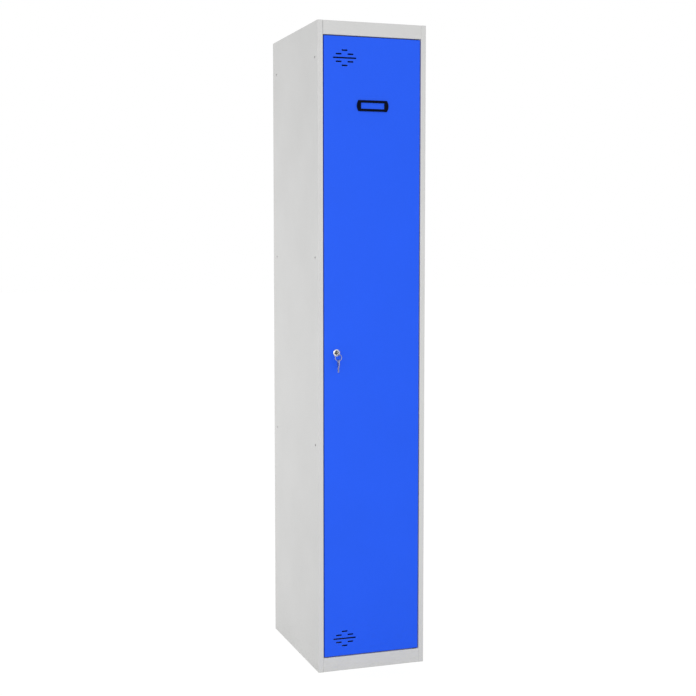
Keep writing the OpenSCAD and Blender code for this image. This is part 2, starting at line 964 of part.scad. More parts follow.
// Pan head screw with a domed head and a cross recess
module cam_screw() {
    head_y = cam_back + washer_t;
    dome_t = 0.45 * screw_head_t;
    dome_r = (screw_head_r * screw_head_r + dome_t * dome_t) / (2 * dome_t);
    color(chrome)
        translate([lock_x, 0, lock_h])
            difference() {
                union() {
                    backwards(cam_back - screw_l, screw_l + washer_t)
                        circle(r = screw_r);
                    turned_backwards()
                        intersection() {
                            translate([0, head_y + screw_head_t - dome_r])
                                circle(r = dome_r);
                            translate([0, head_y])
                                square([screw_head_r, screw_head_t]);
                        }
                }
                backwards(head_y + screw_head_t / 2, screw_head_t)
                    for (turn = [0, 90])
                        rotate(turn)
                            square([screw_head_r * 1.3, 0.9], center = true);
            }
}

// Outline of a key: u runs out from the face of the plug, v is across the blade
module key_outline() {
    cuts = [-3.5, -6, -8.5, -11];
    depths = [1.2, 2, 0.8, 1.6];
    difference() {
        union() {
            for (u = [bow_near + key_bow_r, key_hole_u])
                translate([u, 0])
                    circle(r = key_bow_r);
            translate([bow_near + key_bow_r, -key_bow_r])
                square([key_hole_u - bow_near - key_bow_r, 2 * key_bow_r]);
            translate([seat_gap, -key_blade_w / 2 - 1])
                square([bow_near + 2, key_blade_w + 2]);
            polygon([
                [bow_near, -key_blade_w / 2], [bow_near, key_blade_w / 2],
                [-key_blade_l + 1.5, key_blade_w / 2], [-key_blade_l, 1],
                [-key_blade_l, -1], [-key_blade_l + 1.5, -key_blade_w / 2]
            ]);
        }
        translate([key_hole_u, 0])
            circle(r = key_hole_r);
        for (i = [0 : len(cuts) - 1])
            translate([cuts[i], key_blade_w / 2 - depths[i]])
                polygon([[-0.4, 0], [0.4, 0], [1.2, 2.5], [-1.2, 2.5]]);
    }
}

// A key drawn flat, u along X and v along Y, with a groove milled along each side of its blade
module flat_key() {
    difference() {
        translate([0, 0, -key_t / 2])
            linear_extrude(height = key_t)
                key_outline();
        for (side = [-1, 1])
            translate([-(key_blade_l + over) / 2, 0.95 * side - 0.55, side * key_t / 2])
                cube([key_blade_l + over, key_groove_w, 2 * key_groove_d], center = true);
    }
}

// Flat key in the lock, its bow upright
module key() {
    color(chrome)
        translate([lock_x, lock_front, lock_h])
            rotate([90, 0, 90])
                mirror([1, 0, 0])
                    flat_key();
}

// Split ring through the bow of the key: the groove parts its two turns
module key_ring() {
    color(chrome)
        translate([lock_x, key_hole_y, ring_z])
            rotate([90, 0, 0])
                rotate_extrude()
                    translate([ring_r, 0])
                        difference() {
                            circle(r = ring_wire_r);
                            for (side = [-1, 1])
                                translate([side * ring_wire_r, 0])
                                    square([0.4, 0.25], center = true);
                        }
}

// Second key, hanging from the ring with its blade down
module spare_key() {
    color(chrome)
        translate([lock_x, key_hole_y, spare_hole_z - key_hole_u])
            rotate([90, 0, 90])
                rotate(90)
                    flat_key();
}

left_side_panel();
right_side_panel();
back_panel();
top_panel();
floor_panel();
hat_shelf();
hanging_rail();
rail_brackets();
rail_rivets();
door_buffers();
upper_bush();
lower_bush();
door_skin();
door_stiffener();
upper_hinge_pin();
lower_hinge_pin();
upper_hinge_bracket();
lower_hinge_bracket();
label_holder();
lock_housing();
lock_nut();
lock_plug();
lock_cam();
cam_washer();
cam_screw();
key();
key_ring();
spare_key();
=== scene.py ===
"""Looks for a single-door clothes locker: light grey powder-coated carcass, blue door, cam lock
with two keys on a ring.

Metres, +Z up, the door faces -Y. The sections follow the locker as it is put together.
"""
import math

import bmesh
import bpy
from mathutils import Matrix, Vector


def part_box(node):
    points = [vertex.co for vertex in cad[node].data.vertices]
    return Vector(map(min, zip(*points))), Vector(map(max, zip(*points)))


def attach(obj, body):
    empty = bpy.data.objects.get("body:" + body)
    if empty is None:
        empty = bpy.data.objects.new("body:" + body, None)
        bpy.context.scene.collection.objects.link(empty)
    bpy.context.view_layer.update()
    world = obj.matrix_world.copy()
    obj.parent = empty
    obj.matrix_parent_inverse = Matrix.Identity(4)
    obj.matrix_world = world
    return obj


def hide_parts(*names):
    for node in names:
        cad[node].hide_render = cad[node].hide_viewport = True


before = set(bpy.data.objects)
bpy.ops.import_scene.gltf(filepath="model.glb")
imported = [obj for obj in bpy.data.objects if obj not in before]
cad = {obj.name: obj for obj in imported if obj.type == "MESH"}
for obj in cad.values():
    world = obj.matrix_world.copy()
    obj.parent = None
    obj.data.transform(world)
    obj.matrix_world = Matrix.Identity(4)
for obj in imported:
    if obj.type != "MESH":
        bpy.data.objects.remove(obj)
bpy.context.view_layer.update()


# Carcass: sides, top, floor and hat shelf folded from one-millimetre sheet steel, and a plain back
# sheet. They are spot welded into a box and powder coated together in light grey, which leaves a
# fine orange-peel skin with a satin sheen. Shoes scuff the coat near the floor.
def node_in(tree, kind, inputs=None, **settings):
    """Adds a node; an input's value is a constant or the socket that feeds it."""
    made = tree.nodes.new(kind)
    for name, value in settings.items():
        setattr(made, name, value)
    for name, value in (inputs or {}).items():
        if isinstance(value, bpy.types.NodeSocket):
            tree.links.new(value, made.inputs[name])
        else:
            made.inputs[name].default_value = value
    return made


def mask_group(name, inputs, outputs):
    """Starts a group; returns it, its inputs, its outputs and the place on the piece."""
    group = bpy.data.node_groups.new(name, "ShaderNodeTree")
    for label, default in inputs.items():
        kind = "NodeSocketVector" if isinstance(default, tuple) else "NodeSocketFloat"
        group.interface.new_socket(label, in_out="INPUT", socket_type=kind).default_value = default
    for label in outputs:
        group.interface.new_socket(label, in_out="OUTPUT", socket_type="NodeSocketFloat")
    entry = group.nodes.new("NodeGroupInput")
    leave = group.nodes.new("NodeGroupOutput")
    here = node_in(group, "ShaderNodeTexCoord").outputs["Object"]
    return group, entry.outputs, leave.inputs, here


def place_group(tree, group, **values):
    placed = tree.nodes.new("ShaderNodeGroup")
    placed.node_tree = group
    for label, value in values.items():
        placed.inputs[label.replace("_", " ")].default_value = value
    return placed.outputs


def new_material(name, **constants):
    made = bpy.data.materials.new(name)
    made.use_nodes = True
    shader = made.node_tree.nodes["Principled BSDF"]
    for label, value in constants.items():
        shader.inputs[label.replace("_", " ")].default_value = value
    return made, made.node_tree, shader.inputs


def math_of(tree, operation, first, second=0.0):
    return node_in(tree, "ShaderNodeMath", {0: first, 1: second}, operation=operation).outputs[0]


def range_of(tree, mask, low, high, start=0.0, stop=1.0):
    """Maps start..stop of a mask to low..high and holds it at those ends."""
    ends = {"Value": mask, "From Min": start, "From Max": stop, "To Min": low, "To Max": high}
    return node_in(tree, "ShaderNodeMapRange", ends).outputs["Result"]


def stretch(tree, mask, start, stop):
    """Spreads the middle of a cloudy mask over 0..1."""
    return range_of(tree, mask, 0.0, 1.0, start, stop)


def blend_colours(tree, mask, first, second):
    sides = {"Factor": mask}
    for label, colour in {"A": first, "B": second}.items():
        sides[label] = colour if isinstance(colour, bpy.types.NodeSocket) else (*colour, 1)
    return node_in(tree, "ShaderNodeMix", sides, data_type="RGBA").outputs["Result"]


def bump_of(tree, height, strength, distance):
    relief = {"Height": height, "Strength": strength, "Distance": distance}
    return node_in(tree, "ShaderNodeBump", relief).outputs["Normal"]


def noise_of(tree, place, scale, detail, roughness=0.5):
    cloud = {"Vector": place, "Scale": scale, "Detail": detail, "Roughness": roughness}
    return node_in(tree, "ShaderNodeTexNoise", cloud).outputs["Fac"]


def build_powder_skin():
    """Fine dimples, a slow drift over the panel, and the tone that both give."""
    sizes = {"Peel Scale": 700.0, "Drift Scale": 6.0}
    group, entry, leave, here = mask_group("powder_skin", sizes, ["Peel", "Drift", "Tone"])
    peel = noise_of(group, here, entry["Peel Scale"], detail=2.0, roughness=0.45)
    slow = noise_of(group, here, entry["Drift Scale"], detail=3.0, roughness=0.55)
    drift = stretch(group, slow, 0.3, 0.7)
    dimples = stretch(group, peel, 0.35, 0.65)
    tone = math_of(group, "MULTIPLY", math_of(group, "ADD", drift, dimples), 0.5)
    group.links.new(peel, leave["Peel"])
    group.links.new(drift, leave["Drift"])
    group.links.new(tone, leave["Tone"])
    return group


def build_handling():
    """Scuffs that fade with the height over the floor, and polish that fades round a grip."""
    sizes = {
        "Floor Reach": 0.10, "Scuff Scale": 60.0, "Grip": (0.0, 0.0, 0.0), "Grip Reach": 0.10,
    }
    group, entry, leave, here = mask_group("handling", sizes, ["Scuffs", "Polish"])
    height = node_in(group, "ShaderNodeSeparateXYZ", {"Vector": here}).outputs["Z"]
    near_floor = range_of(group, height, 1.0, 0.0, stop=entry["Floor Reach"])
    streaks = node_in(group, "ShaderNodeMapping", {"Vector": here, "Scale": (1.0, 1.0, 3.0)})
    marks = noise_of(
        group, streaks.outputs["Vector"], entry["Scuff Scale"], detail=5.0, roughness=0.65,
    )
    scuffs = math_of(group, "MULTIPLY", near_floor, stretch(group, marks, 0.52, 0.68))
    group.links.new(scuffs, leave["Scuffs"])
    ends = {0: here, 1: entry["Grip"]}
    apart = node_in(group, "ShaderNodeVectorMath", ends, operation="DISTANCE").outputs["Value"]
    near_grip = range_of(group, apart, 1.0, 0.0, stop=entry["Grip Reach"])
    cloud = noise_of(group, here, scale=25.0, detail=2.0)
    smears = range_of(group, cloud, 0.3, 1.0, start=0.35, stop=0.6)
    group.links.new(math_of(group, "MULTIPLY", near_grip, smears), leave["Polish"])
    return group


powder_skin = build_powder_skin()
handling = build_handling()
SCUFF_DULLING = 0.15
GRIP_POLISH = 0.10
PEEL_RELIEF = 0.22
PEEL_DEPTH = 0.0003


def powder_coat(name, light, dark, scuffed, roughness, specular, floor_reach, grip):
    made, tree, shader = new_material(name, IOR=1.5, Specular_IOR_Level=specular)
    skin = place_group(tree, powder_skin, Peel_Scale=650.0, Drift_Scale=5.0)
    worn = place_group(tree, handling, Floor_Reach=floor_reach, Grip=grip, Grip_Reach=0.09)
    clean = blend_colours(tree, skin["Tone"], light, dark)
    tree.links.new(blend_colours(tree, worn["Scuffs"], clean, scuffed), shader["Base Color"])
    sheen = range_of(tree, skin["Drift"], *roughness)
    dulled = math_of(tree, "ADD", sheen, math_of(tree, "MULTIPLY", worn["Scuffs"], SCUFF_DULLING))
    gloss = math_of(tree, "MULTIPLY", worn["Polish"], GRIP_POLISH)
    tree.links.new(math_of(tree, "SUBTRACT", dulled, gloss), shader["Roughness"])
    tree.links.new(bump_of(tree, skin["Peel"], PEEL_RELIEF, PEEL_DEPTH), shader["Normal"])
    return made


def dress(material, *names):
    for name in names:
        for holder in cad[name].material_slots:
            holder.material = material


lock_low, lock_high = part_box("lock_housing")
lock_spot = tuple((lock_low + lock_high) / 2)

carcass_paint = powder_coat(
    "carcass_paint",
    light=(0.612, 0.612, 0.608), dark=(0.574, 0.574, 0.570), scuffed=(0.55, 0.55, 0.54),
    roughness=(0.42, 0.50), specular=0.35, floor_reach=0.10, grip=lock_spot,
)
dress(
    carcass_paint,
    "left_side_panel", "right_side_panel", "back_panel", "top_panel", "floor_panel", "hat_shelf",
)


# Spot welds: a press squeezes two sheets between copper tips and leaves a dished mark with a raised
# lip. Rows run up the back sheet inside the box, and across its outer face where the flanges of the
# top, the shelf and the floor meet it.
def smooth_by_angle(mesh, degrees=35):
    mesh.polygons.foreach_set("use_smooth", [True] * len(mesh.polygons))
    mesh.set_sharp_from_angle(angle=math.radians(degrees))


def turned(name, profile, segments):
    """Turns (radius, height) pairs about Z into a closed form that starts and ends on the axis."""
    form = bmesh.new()
    rings = []
    turns = [2 * math.pi * step / segments for step in range(segments)]
    for radius, height in profile:
        spots = [(radius * math.cos(turn), radius * math.sin(turn), height) for turn in turns]
        if radius == 0:
            spots = [(0, 0, height)]
        rings.append([form.verts.new(spot) for spot in spots])
    for low, high in zip(rings, rings[1:]):
        for here in range(segments):
            there = (here + 1) % segments
            corners = [
                low[here % len(low)], low[there % len(low)],
                high[there % len(high)], high[here % len(high)],
            ]
            form.faces.new(list(dict.fromkeys(corners)))
    bmesh.ops.recalc_face_normals(form, faces=form.faces)
    mesh = bpy.data.meshes.new(name)
    form.to_mesh(mesh)
    form.free()
    smooth_by_angle(mesh)
    return bpy.data.objects.new(name, mesh)


def geometry_tree(name, inputs):
    tree = bpy.data.node_groups.new(name, "GeometryNodeTree")
    for label, kind in inputs.items():
        tree.interface.new_socket(label, in_out="INPUT", socket_type="NodeSocket" + kind)
    tree.interface.new_socket("Geometry", in_out="OUTPUT", socket_type="NodeSocketGeometry")
    entry = tree.nodes.new("NodeGroupInput")
    leave = tree.nodes.new("NodeGroupOutput")
    return tree, entry.outputs, leave.inputs


def end_tree(tree, shape, finish, leave):
    """Makes the copies real, gives them their finish and leads them out of the tree."""
    whole = node_in(tree, "GeometryNodeRealizeInstances", {"Geometry": shape})
    coat = {"Geometry": whole.outputs["Geometry"], "Material": finish}
    finished = node_in(tree, "GeometryNodeSetMaterial", coat)
    tree.links.new(finished.outputs["Geometry"], leave["Geometry"])


def build_row_tree():
    """Sets copies of a piece along straight rows, from end to end, about a pitch apart."""
    inputs = {
        "Rows": "Geometry", "Pitch": "Float", "Piece": "Object", "Facing": "Rotation",
        "Finish": "Material",
    }
    tree, entry, leave = geometry_tree("pieces_in_rows", inputs)
    lines = node_in(tree, "GeometryNodeMeshToCurve", {"Mesh": entry["Rows"]})
    spacing = {"Curve": lines.outputs["Curve"], "Length": entry["Pitch"]}
    steps = node_in(tree, "GeometryNodeResampleCurve", spacing, mode="LENGTH")
    piece = node_in(tree, "GeometryNodeObjectInfo", {"Object": entry["Piece"]})
    copies = {
        "Points": steps.outputs["Curve"], "Instance": piece.outputs["Geometry"],
        "Rotation": entry["Facing"],
    }
    placed = node_in(tree, "GeometryNodeInstanceOnPoints", copies)
    end_tree(tree, placed.outputs["Instances"], entry["Finish"], leave)
    return tree


def grow(name, base, tree, values):
    """Runs a tree on a base mesh and returns its result as a plain object."""
    host = bpy.data.objects.new(name + "_host", base)
    bpy.context.scene.collection.objects.link(host)
    modifier = host.modifiers.new("grow", "NODES")
    modifier.node_group = tree
    for item in tree.interface.items_tree:
        if item.in_out == "INPUT" and item.name in values:
            modifier[item.identifier] = values[item.name]
    whole = host.evaluated_get(bpy.context.evaluated_depsgraph_get())
    mesh = bpy.data.meshes.new_from_object(whole)
    mesh.name = name
    host.modifiers.remove(modifier)
    bpy.data.objects.remove(host)
    piece = bpy.data.objects.new(name, mesh)
    bpy.context.scene.collection.objects.link(piece)
    return piece


row_tree = build_row_tree()


def set_in_rows(name, rows, pitch, piece, facing, finish):
    """Fills rows, each given by its two ends, with one kind of piece."""
    lines = bpy.data.meshes.new(name + "_rows")
    ends = [end for row in rows for end in row]
    lines.from_pydata(ends, [(start, start + 1) for start in range(0, len(ends), 2)], [])
    values = {"Pitch": pitch, "Piece": piece, "Facing": facing, "Finish": finish}
    return grow(name, lines, row_tree, values)


FACING_FRONT = (math.pi / 2, 0.0, 0.0)
FACING_BACK = (-math.pi / 2, 0.0, 0.0)
WELD_R = 0.0030
LIP_R = 0.0021
DISH_R = 0.0014
LIP_H = 0.00012
WELD_ROOT = -0.0002
weld_profile = [
    (0, LIP_H / 3), (DISH_R, LIP_H / 4), (LIP_R, LIP_H), (0.9 * WELD_R, LIP_H * 2 / 3),
    (WELD_R, WELD_ROOT / 2), (WELD_R, WELD_ROOT), (0, WELD_ROOT),
]
weld = turned("weld", weld_profile, 16)

EDGE_TO_WELD = 0.006
SEAM_TO_WELD = 0.0075
SKIRT_TO_WELD = 0.02
FLANGE_TO_WELD = 0.02
ROW_GAP = 0.04
TOP_GAP = 0.05
UPRIGHT_PITCH = 0.11
CROSS_PITCH = 0.055
back_low, back_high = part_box("back_panel")
shelf_low, shelf_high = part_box("hat_shelf")
floor_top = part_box("floor_panel")[1].z
upright_x = back_high.x - EDGE_TO_WELD
cross_x = upright_x - FLANGE_TO_WELD
inside_rows = [
    [(x, back_low.y, low), (x, back_low.y, high)]
    for x in (-upright_x, upright_x)
    for low, high in (
        (floor_top + ROW_GAP, shelf_low.z - ROW_GAP),
        (shelf_high.z + ROW_GAP, back_high.z - TOP_GAP),
    )
]
outside_rows = [
    [(-cross_x, back_high.y, z), (cross_x, back_high.y, z)]
    for z in (floor_top - SKIRT_TO_WELD, shelf_high.z - SEAM_TO_WELD, back_high.z - SEAM_TO_WELD)
]
for name, rows, pitch, facing in (
    ("inside_welds", inside_rows, UPRIGHT_PITCH, FACING_FRONT),
    ("outside_welds", outside_rows, CROSS_PITCH, FACING_BACK),
):
    welds = set_in_rows(name, rows, pitch, weld, facing, carcass_paint)
    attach(welds, "carcass")


# Clothes rail: chromed steel tube through two zinc-plated angle brackets under the shelf.
# Each bracket hangs on two pop rivets, with a dome over the sheet and a set tail under it.
def build_plated_skin():
    """Scratches drawn out along Z, and patches where the plating has clouded."""
    sizes = {"Cloud Scale": 60.0, "Scratch Scale": 500.0}
    group, entry, leave, here = mask_group("plated_skin", sizes, ["Scratches", "Cloud"])
    drawn = node_in(group, "ShaderNodeMapping", {"Vector": here, "Scale": (1.0, 1.0, 0.06)})
    along = drawn.outputs["Vector"]
    scratches = noise_of(group, along, entry["Scratch Scale"], detail=4.0, roughness=0.7)
    cloud = noise_of(group, here, entry["Cloud Scale"], detail=3.0)
    group.links.new(scratches, leave["Scratches"])
    group.links.new(stretch(group, cloud, 0.35, 0.65), leave["Cloud"])
    return group


plated_skin = build_plated_skin()
SCRATCH_SHEEN = 0.04
SCRATCH_DEPTH = 0.0001


def plated(name, light, dark, roughness, relief=0.08, cloud_scale=60.0, scratch_scale=900.0):
    made, tree, shader = new_material(name, Metallic=1.0)
    skin = place_group(tree, plated_skin, Cloud_Scale=cloud_scale, Scratch_Scale=scratch_scale)
    tree.links.new(blend_colours(tree, skin["Cloud"], light, dark), shader["Base Color"])
    rubbed = range_of(tree, skin["Scratches"], -SCRATCH_SHEEN, SCRATCH_SHEEN, start=0.3, stop=0.7)
    sheen = math_of(tree, "ADD", range_of(tree, skin["Cloud"], *roughness), rubbed)
    tree.links.new(sheen, shader["Roughness"])
    tree.links.new(bump_of(tree, skin["Scratches"], relief, SCRATCH_DEPTH), shader["Normal"])
    return made


def round_edges(width, *names, segments=2):
    """Softens the edges of CAD pieces, once their loose triangles are joined and flattened."""
    for name in names:
        piece = cad[name]
        joined = piece.modifiers.new("weld", "WELD")
        joined.merge_threshold = 1e-6
        planar = piece.modifiers.new("planar", "DECIMATE")
        planar.decimate_type = "DISSOLVE"
        planar.angle_limit = math.radians(1)
        bevel = piece.modifiers.new("bevel", "BEVEL")
        bevel.width = width
        bevel.segments = segments
        bevel.limit_method = "ANGLE"
        bevel.angle_limit = math.radians(35)


zinc_plate = plated(
    "zinc_plate", light=(0.60, 0.62, 0.64), dark=(0.48, 0.50, 0.53), roughness=(0.28, 0.42),
    relief=0.12,
)
rail_chrome = plated(
    "rail_chrome", light=(0.74, 0.75, 0.77), dark=(0.70, 0.71, 0.73), roughness=(0.08, 0.14),
    relief=0.03,
)
dress(zinc_plate, "rail_brackets")
dress(rail_chrome, "hanging_rail")
round_edges(0.0003, "rail_brackets")
round_edges(0.0002, "hanging_rail")

HEAD_R = 0.0040
MANDREL_R = 0.0009
SHANK_R = 0.0020
TAIL_R = 0.0030
TAIL_H = 0.0016
rivet_low, rivet_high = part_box("rail_rivets")
tail_end = rivet_low.z - shelf_high.z
tail_top = tail_end + TAIL_H
dome_profile = [
    (0, 0.0007), (MANDREL_R, 0.0007), (MANDREL_R, 0.0014), (0.0020, 0.0015),
    (0.0031, 0.0011), (0.0038, 0.0005), (HEAD_R, 0.0002), (HEAD_R, 0),
]
tail_profile = [
    (SHANK_R, 0), (SHANK_R, tail_top), (0.0027, tail_top - 0.0003), (TAIL_R, tail_top - 0.0008),
    (0.0026, tail_end + 0.0002), (0.0014, tail_end), (0, tail_end),
]
rivet = turned("rivet", dome_profile + tail_profile, 24)
rivet_y = rivet_high.y - HEAD_R
rivet_rows = [
    [(x, -rivet_y, shelf_high.z), (x, rivet_y, shelf_high.z)]
    for x in (rivet_low.x + HEAD_R, rivet_high.x - HEAD_R)
]
rivets = set_in_rows("pop_rivets", rivet_rows, 2 * rivet_y, rivet, (0.0, 0.0, 0.0), zinc_plate)
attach(rivets, "carcass")
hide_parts("rail_rivets")


# Door pan and its hat-shaped stiffener, folded from the same sheet and coated in bright blue.
# The coat is a little glossier than the carcass's, and hands polish it round the lock.
# The stiffener's flanges are spot welded to the back of the face.
door_paint = powder_coat(
    "door_paint",
    light=(0.0120, 0.101, 0.870), dark=(0.0100, 0.094, 0.810), scuffed=(0.012, 0.092, 0.78),
    roughness=(0.34, 0.42), specular=0.20, floor_reach=0.20, grip=lock_spot,
)
dress(door_paint, "door_skin", "door_stiffener")

SHEET_T = 0.001
RIB_END_GAP = 0.05
RIB_PITCH = 0.12
rib_low, rib_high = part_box("door_stiffener")
flange_x = rib_high.x - EDGE_TO_WELD
flange_back = rib_low.y + SHEET_T
door_rows = [
    [(x, flange_back, rib_low.z + RIB_END_GAP), (x, flange_back, rib_high.z - RIB_END_GAP)]
    for x in (-flange_x, flange_x)
]
door_welds = set_in_rows("door_welds", door_rows, RIB_PITCH, weld, FACING_BACK, door_paint)
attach(door_welds, "door")


# Label holder: black moulded plastic with bowed ends, pushed into the door on two studs.
# The moulding's corners are slightly rounded and its surface has a fine spark-eroded grain.
def build_fine_grain():
    sizes = {"Grain Scale": 2000.0, "Cloud Scale": 40.0}
    group, entry, leave, here = mask_group("fine_grain", sizes, ["Grain", "Cloud"])
    grain = noise_of(group, here, entry["Grain Scale"], detail=3.0)
    cloud = noise_of(group, here, entry["Cloud Scale"], detail=2.0)
    group.links.new(grain, leave["Grain"])
    group.links.new(stretch(group, cloud, 0.35, 0.65), leave["Cloud"])
    return group


fine_grain = build_fine_grain()
GRAIN_DEPTH = 0.0002


def moulded(name, dark, light, roughness, grain_scale, relief, **constants):
    made, tree, shader = new_material(name, **constants)
    skin = place_group(tree, fine_grain, Grain_Scale=grain_scale, Cloud_Scale=35.0)
    tree.links.new(blend_colours(tree, skin["Cloud"], dark, light), shader["Base Color"])
    tree.links.new(range_of(tree, skin["Cloud"], *roughness), shader["Roughness"])
    tree.links.new(bump_of(tree, skin["Grain"], relief, GRAIN_DEPTH), shader["Normal"])
    return made


label_plastic = moulded(
    "label_plastic", dark=(0.0005, 0.0012, 0.009), light=(0.001, 0.002, 0.012),
    roughness=(0.30, 0.38), grain_scale=2200.0, relief=0.15, Specular_IOR_Level=0.05,
)
dress(label_plastic, "label_holder")
round_edges(0.0005, "label_holder", segments=3)


# Door buffers and hinge bushes: black rubber pushed through the stop on the lock's side, and black
# nylon pushed into the folds above and below the door, where the hinge pins turn.
buffer_rubber = moulded(
    "buffer_rubber", dark=(0.016, 0.016, 0.017), light=(0.026, 0.026, 0.026),
    roughness=(0.70, 0.82), grain_scale=1500.0, relief=0.3,
)
dress(buffer_rubber, "door_buffers")
round_edges(0.0005, "door_buffers")

bush_nylon = moulded(
    "bush_nylon", dark=(0.018, 0.018, 0.020), light=(0.026, 0.026, 0.028),
    roughness=(0.42, 0.50), grain_scale=900.0, relief=0.1,
)
dress(bush_nylon, "upper_bush", "lower_bush")
round_edges(0.0003, "upper_bush", "lower_bush")


# Hinges: the door turns on two bright steel pins with a collar, one above it and one below it.
# Zinc-plated angle brackets hold them in the door's corners.
pin_steel = plated(
    "pin_steel", light=(0.62, 0.62, 0.63), dark=(0.55, 0.55, 0.56), roughness=(0.20, 0.30),
)
dress(pin_steel, "upper_hinge_pin", "lower_hinge_pin")
dress(zinc_plate, "upper_hinge_bracket", "lower_hinge_bracket")
round_edges(0.0003, "upper_hinge_bracket", "lower_hinge_bracket")
round_edges(0.0004, "upper_hinge_pin", "lower_hinge_pin")


# Cam lock: a chromed zinc casting with a rounded bezel and a threaded barrel with two flats.
# Inside the door a hexagon nut holds it, and a zinc-plated cam is screwed on the turning plug.
BORE_R = 0.00555
BARREL_R = 0.0080
HALF_FLATS = 0.0070
THREAD_PITCH = 0.0010
THREAD_DEPTH = 0.00055
FLANK_SLOPE = 1.25
STEPS_PER_PITCH = 6


def flatted(radius, turn):
    """The barrel's radius in one direction, cut back by its two flats."""
    return min(radius, HALF_FLATS / max(abs(math.cos(turn)), 1e-6))


def thread_at(turn, along, length):
    """The thread's radius: one crest to a pitch, which runs out over the last pitch."""
    phase = (along / THREAD_PITCH - turn / (2 * math.pi)) % 1.0
    crest = 1 - min(1.0, abs(2 * phase - 1) * FLANK_SLOPE)
    fade = min(1.0, (length - along) / THREAD_PITCH)
    return flatted(BARREL_R - THREAD_DEPTH * (1 - fade * crest), turn)


def threaded_housing(name, low, high, face_y, segments=64):
    """Bezel, barrel and bore in one closed skin of rings, each with a radius for every turn."""
    turns = [2 * math.pi * step / segments for step in range(segments)]
    rim_r = (high.x - low.x) / 2
    proud = face_y - low.y
    length = high.y - face_y
    bezel = [
        (BORE_R, low.y + 0.0004), (BORE_R + 0.0003, low.y + 0.0001), (BORE_R + 0.0007, low.y),
        (rim_r - 0.0016, low.y), (rim_r - 0.0008, low.y + 0.12 * proud),
        (rim_r - 0.0003, low.y + 0.35 * proud), (rim_r, low.y + 0.7 * proud),
        (rim_r, face_y - 0.00005), (rim_r - 0.0002, face_y),
    ]
    stations = [([radius] * segments, y) for radius, y in bezel]
    stations.append(([flatted(BARREL_R - THREAD_DEPTH, turn) for turn in turns], face_y))
    count = round(length / THREAD_PITCH * STEPS_PER_PITCH)
    for step in range(1, count):
        along = length * step / count
        stations.append(([thread_at(turn, along, length) for turn in turns], face_y + along))
    stations.append(([BARREL_R - 2 * THREAD_DEPTH] * segments, high.y))
    stations.append(([BORE_R] * segments, high.y))
    form = bmesh.new()
    rings = []
    for radii, y in stations:
        rings.append([
            form.verts.new((radius * math.cos(turn), y, radius * math.sin(turn)))
            for radius, turn in zip(radii, turns)
        ])
    for near, far in zip(rings, rings[1:] + rings[:1]):
        for here in range(segments):
            there = (here + 1) % segments
            form.faces.new((near[here], near[there], far[there], far[here]))
    bmesh.ops.recalc_face_normals(form, faces=form.faces)
    form.transform(Matrix.Translation(((low.x + high.x) / 2, 0.0, (low.z + high.z) / 2)))
    mesh = bpy.data.meshes.new(name)
    form.to_mesh(mesh)
    form.free()
    smooth_by_angle(mesh, 28)
    housing = bpy.data.objects.new(name, mesh)
    bpy.context.scene.collection.objects.link(housing)
    return housing


lock_chrome = plated(
    "lock_chrome", light=(0.72, 0.72, 0.73), dark=(0.64, 0.64, 0.65), roughness=(0.10, 0.18),
    relief=0.05, cloud_scale=150.0,
)
# The turning plug is coloured near-black, far darker than bare metal: painted shade on the lock's
# face.
plug_metal = plated(
    "plug_metal", light=(0.115, 0.115, 0.110), dark=(0.080, 0.080, 0.076), roughness=(0.24, 0.36),
    relief=0.1, cloud_scale=200.0,
)
housing = threaded_housing("lock_body", lock_low, lock_high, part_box("door_skin")[0].y)
housing.data.materials.append(lock_chrome)
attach(housing, "door")
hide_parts("lock_housing")
dress(plug_metal, "lock_plug")
dress(zinc_plate, "lock_nut", "lock_cam", "cam_washer", "cam_screw")
round_edges(0.0002, "lock_plug", "cam_washer")
round_edges(0.0003, "lock_cam", "cam_screw")
round_edges(0.0004, "lock_nut")


# Two flat keys, stamped from nickel-plated brass and milled along the blade: one in the lock and
# one on the ring. Pockets leave fine scratches and dull patches in the plating.
# Their nickel is coloured darker than bare nickel as painted shade; the dull patches are the
# plating's own wear.
key_nickel = plated(
    "key_nickel", light=(0.46, 0.455, 0.44), dark=(0.34, 0.335, 0.32), roughness=(0.20, 0.32),
    relief=0.12, cloud_scale=150.0, scratch_scale=1200.0,
)
dress(key_nickel, "key", "spare_key")
round_edges(0.0002, "key", "spare_key")


# Split ring: two turns of flat spring wire, coiled side by side, that cross over in a short jog.
# It is threaded through the bows of both keys.
WIRE_POINTS = 145
WIRE_TURNS = 1.984
JOG_START = 0.45
JOG_STOP = 0.55
CORNER_SHARE = 0.42
STRIP_W_SHARE = 0.9
STRIP_H_SHARE = 0.47
LIFT_SHARE = 0.245


